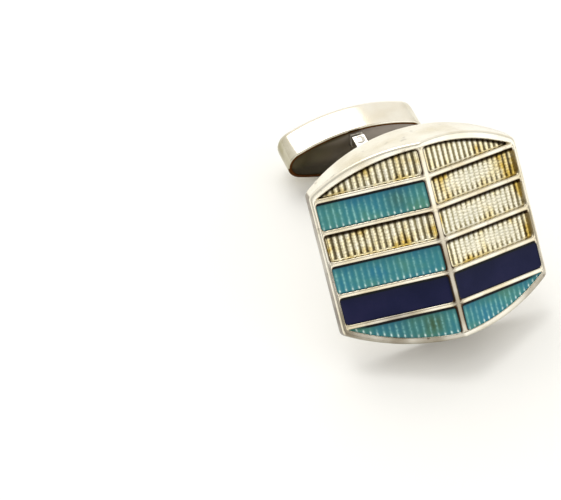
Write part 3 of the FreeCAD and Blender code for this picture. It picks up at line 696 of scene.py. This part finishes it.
# Back plate, post, rivet and lug: plain silver, cut, bent and soldered, with edges rubbed soft.
# The post goes through the plate to a foot inside it, and its fork takes the toggle's lug on the rivet.
FITTINGS = (("back_plate", 0.05), ("post", 0.10), ("hinge_pin", 0.02), ("hinge_lug", 0.06))
WELD_REACH, EDGE_STEPS, EDGE_ANGLE = 0.001, 3, math.radians(35)


def finish_node(name, soft, material):
    """Rubs a CAD piece's edges soft and gives it its metal."""
    node = frame["nodes"][name]
    weld = node.modifiers.new("weld", "WELD")
    weld.merge_threshold = WELD_REACH * MM
    edges = node.modifiers.new("soft_edges", "BEVEL")
    edges.width = soft * MM
    edges.segments = EDGE_STEPS
    edges.limit_method = "ANGLE"
    edges.angle_limit = EDGE_ANGLE
    edges.harden_normals = True
    node.data.materials.clear()
    node.data.materials.append(material)


plain_silver = polished_silver("polished_silver_fittings", "#DFDCD4", "#D3CDBF", "#4E3A1E", 0.15, 0.24)
for name, soft in FITTINGS:
    finish_node(name, soft, plain_silver)


# Detent leaves: two strips of spring steel on the toggle's plate, ground across and left bright.
# They press on the ends of the post's fork and hold the toggle crosswise or in line.
LEAF_SOFT = 0.03


def ground_steel():
    """Ground spring steel: grey, with fine lines across the strip."""
    material, tree = new_material("ground_spring_steel")
    place = add(tree, "ShaderNodeTexCoord").outputs["Object"]
    along = add(tree, "ShaderNodeMapping", {"Vector": place, "Scale": (1, 1, 0.05)})
    lines = add(tree, "ShaderNodeTexNoise", {"Vector": along.outputs["Vector"], "Scale": per_metre(0.08)})
    tone = add(tree, "ShaderNodeValToRGB", {"Fac": lines.outputs["Fac"]},
               stops=[(0.3, linear("#C9C6BE")), (0.7, linear("#E2DFD8"))])
    shader = add(tree, "ShaderNodeBsdfPrincipled",
                 {"Base Color": tone.outputs["Color"], "Metallic": 1.0, "Roughness": 0.34})
    add(tree, "ShaderNodeOutputMaterial", {"Surface": shader.outputs["BSDF"]})
    return material


steel = ground_steel()
for name in ("detent_leaf_upper", "detent_leaf_lower"):
    finish_node(name, LEAF_SOFT, steel)


# Toggle: an oval cup drawn in silver, closed by a flat plate that carries the lug.
# The cup is rounded at its back, and a brown line shows where the plate is soldered in.
# Its two ends carry painted shade, an olive darker reflection, most at the left end.
# The plate is tarnished and painted dark for the shade it lies in, with a lighter painted reflection
# on its right-hand part.
TOGGLE_HALF, TOGGLE_HALF_WIDTH, TOGGLE_END = 5.775, 2.3, 1.42
TOGGLE_DEPTH, TOGGLE_WALL, TOGGLE_SHEET, HINGE_STANDOFF = 2.95, 0.32, 0.4, 1.02
BACK_INSET, BACK_DISH, BACK_SOFT = 1.2, 0.12, 0.55
RIM_LEAN, OUTER_SOFT, INNER_SOFT = 0.03, 0.10, 0.04
SEAM, TOP_SEAM_DEPTH, LOW_SEAM_DEPTH = 4.0, 0.4 * RIM_LEAN, 1.5 * RIM_LEAN
# Painted shade at the two ends, a darker reflection, stronger at the left end.
RIGHT_END_SHADE, LEFT_END_SHADE = 0.4, 0.88
END_SHADE_START, END_SHADE_FULL = 4.5, 5.7
PLATE_MARK, PLATE_MARK_LEFT, PLATE_MARK_BLUR = 1.4, 0.5, 0.2
LONG_ARC_STEPS, END_ARC_STEPS = 56, 28
joint = frame["joints"][0]
across_toggle = Vector(joint["axis"]).normalized()
towards_head = along_rows.cross(across_toggle)
toggle_turn = Matrix((along_rows, across_toggle, towards_head)).transposed().to_4x4()
toggle_frame = Matrix.Translation(joint["pos_m"]) @ toggle_turn @ Matrix.Scale(MM, 4)


def oval(inset, z):
    """Points round the toggle, two long arcs and two tight ends, drawn in by inset at the height z."""
    reach = TOGGLE_HALF - TOGGLE_END
    spread = 2 * (TOGGLE_HALF_WIDTH - TOGGLE_END)
    long_radius = (reach ** 2 + TOGGLE_HALF_WIDTH ** 2 - TOGGLE_END ** 2) / spread
    sink = long_radius - TOGGLE_HALF_WIDTH
    turn = math.atan2(reach, sink)
    points = []
    for sign in (1, -1):
        arcs = ((Vector((sign * reach, 0)), TOGGLE_END - inset, math.pi / 2 - turn, END_ARC_STEPS),
                (Vector((0, -sign * sink)), long_radius - inset, turn, LONG_ARC_STEPS))
        for centre, radius, half_turn, steps in arcs:
            middle = (0 if centre.x else math.pi / 2) + (0 if sign > 0 else math.pi)
            for step in range(steps):
                angle = middle + half_turn * (2 * step / steps - 1)
                points.append(Vector((*(centre + radius * Vector((math.cos(angle), math.sin(angle)))), z)))
    return points


def cup_seam_and_shade(point):
    """Brown on the rim, only on its inner half along the top, and olive painted shade round the two ends."""
    on_rim = point.z > rim_height - (TOP_SEAM_DEPTH if point.y > 0 else LOW_SEAM_DEPTH)
    round_end = climb(abs(point.x), END_SHADE_START, END_SHADE_FULL)
    return SEAM * on_rim + (RIGHT_END_SHADE if point.x > 0 else LEFT_END_SHADE) * round_end


def plate_painted_reflection(point):
    """A painted reflection: the lighter right-hand part of the dark plate."""
    return PLATE_MARK * soft_step(point.x, PLATE_MARK_LEFT, PLATE_MARK_BLUR)


rim_height, back_height = -HINGE_STANDOFF, -HINGE_STANDOFF - TOGGLE_DEPTH
cup_profile = [
    oval(BACK_INSET, back_height), oval(0.0, back_height + BACK_DISH), oval(0.0, rim_height - RIM_LEAN),
    oval(TOGGLE_WALL, rim_height), oval(TOGGLE_WALL, back_height + 2 * TOGGLE_WALL),
]
# The colour for faint marks is the olive painted shade at the cup's ends.
cup_silver = polished_silver("polished_silver_cup", "#F4F0E4", "#E6DDC8", "#4E2C0C", 0.13, 0.22,
                             faint_mark="#736A24")
cup_form = skin(rounded(cup_profile, (0, BACK_SOFT, OUTER_SOFT, INNER_SOFT, 0)))
add_piece("toggle_cup_drawn", cup_form, toggle_frame, cup_silver, "toggle", "toggle_cup",
          {"tarnish_and_painted_light": cup_seam_and_shade})
plate_inset = TOGGLE_WALL + SEAT_GAP
plate_profile = [oval(plate_inset, rim_height - TOGGLE_SHEET), oval(plate_inset, rim_height - SEAT_GAP)]
# Dark tarnish with painted shade, and a lighter painted reflection as its marked colour.
dark_silver = polished_silver("tarnished_and_shaded_silver_plate", "#4B4431", "#353022", "#8E867D", 0.42, 0.58)
add_piece("toggle_plate_flat", skin(plate_profile), toggle_frame, dark_silver, "toggle",
          "toggle_plate", {"tarnish_and_painted_light": plate_painted_reflection})


# Stage: a plain pale floor, a square lamp above and behind, a broad low one in front,
# and a bright room around, brightest at the back.
FLOOR_HALF, FLOOR_DROP = 600, 0.02
LAMPS = (("overhead_lamp", (-10, 180, 220), (220, 220), 0.34),
         ("front_lamp", (75, -220, 108), (640, 235), 0.37))
floor_mesh = bpy.data.meshes.new("floor")
floor_mesh.from_pydata([(x * FLOOR_HALF * MM, y * FLOOR_HALF * MM, -FLOOR_DROP * MM)
                        for x, y in ((-1, -1), (1, -1), (1, 1), (-1, 1))], [], [(0, 1, 2, 3)])
floor = bpy.data.objects.new("floor", floor_mesh)
bpy.context.scene.collection.objects.link(floor)
paper, paper_tree = new_material("pale_paper")
paper_shader = add(paper_tree, "ShaderNodeBsdfPrincipled",
                   {"Base Color": linear("#FAFAF8"), "Roughness": 0.8})
add(paper_tree, "ShaderNodeOutputMaterial", {"Surface": paper_shader.outputs["BSDF"]})
floor_mesh.materials.append(paper)

for name, place, (width, height), power in LAMPS:
    light = bpy.data.lights.new(name, "AREA")
    light.shape = "RECTANGLE"
    light.size, light.size_y = width * MM, height * MM
    light.energy = power
    lamp = bpy.data.objects.new(name, light)
    lamp.location = Vector(place) * MM
    lamp.rotation_euler = (-Vector(place)).to_track_quat("-Z", "Y").to_euler()
    bpy.context.scene.collection.objects.link(lamp)
world = bpy.data.worlds.new("bright_room")
world.use_nodes = True
bpy.context.scene.world = world
room = world.node_tree.nodes["Background"]
room.inputs["Color"].default_value = linear("#F8F5EF")
towards = add(world.node_tree, "ShaderNodeTexCoord").outputs["Generated"]
to_back = add(world.node_tree, "ShaderNodeSeparateXYZ", {"Vector": towards}).outputs["Y"]
level = add(world.node_tree, "ShaderNodeMapRange", {"Value": to_back, "From Min": -0.5, "From Max": 0.4,
                                                    "To Min": 0.6, "To Max": 1.05})
world.node_tree.links.new(level.outputs["Result"], room.inputs["Strength"])


# Camera: it stands in front of the face, to the left and well above it, and looks past the cufflink.
AZIMUTH, ELEVATION, ROLL = (math.radians(angle) for angle in (-18.45, 45.73, -2.98))
CAMERA_REACH, AIM, LENS, CLIP_START = 244.6, (-11.55, -4.42, 8.97), 210.5, 10
back_to_camera = Vector((math.sin(AZIMUTH) * math.cos(ELEVATION), -math.cos(AZIMUTH) * math.cos(ELEVATION),
                         math.sin(ELEVATION)))
camera = bpy.data.objects.new("camera", bpy.data.cameras.new("camera"))
camera.data.lens = LENS
camera.data.clip_start = CLIP_START * MM
camera.rotation_mode = "QUATERNION"
camera.location = (Vector(AIM) + back_to_camera * CAMERA_REACH) * MM
camera.rotation_quaternion = (Matrix.Rotation(ROLL, 3, back_to_camera).to_quaternion()
                              @ (-back_to_camera).to_track_quat("-Z", "Y"))
bpy.context.scene.collection.objects.link(camera)
bpy.context.scene.camera = camera
bpy.context.scene.view_settings.view_transform = "Standard"

bpy.context.view_layer.update()
